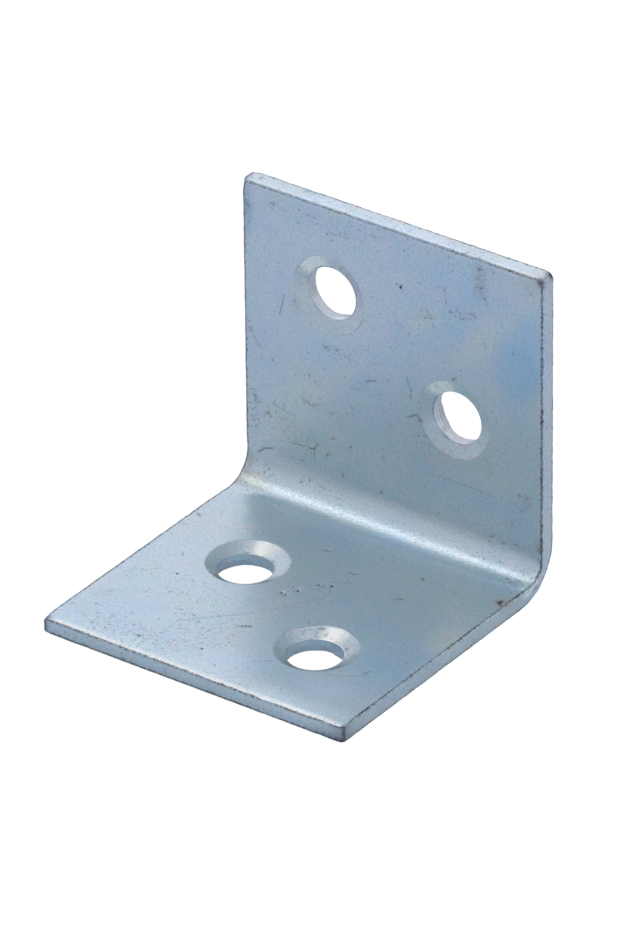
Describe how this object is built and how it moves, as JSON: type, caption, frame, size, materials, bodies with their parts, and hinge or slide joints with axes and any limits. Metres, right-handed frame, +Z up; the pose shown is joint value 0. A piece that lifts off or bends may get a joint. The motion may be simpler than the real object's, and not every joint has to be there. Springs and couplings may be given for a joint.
{
  "type": "corner brace bracket",
  "caption": "Folded sheet-steel corner brace with two square legs, each with staggered countersunk screw holes, zinc plated.",
  "frame": {"origin": "middle of the brace's bounding box at its lowest level, which is on the foot's underside", "axes": "+X along the fold, +Y from the foot's free end towards the upright's back face, +Z up along the upright"},
  "size_m": [0.04, 0.0396, 0.0395],
  "materials": {
    "zinc": "bright blue zinc plating, satin, with fine scratches, pits and soft colour drift"
  },
  "bodies": {
    "root": {"bracket": "zinc"}
  },
  "joints": []
}
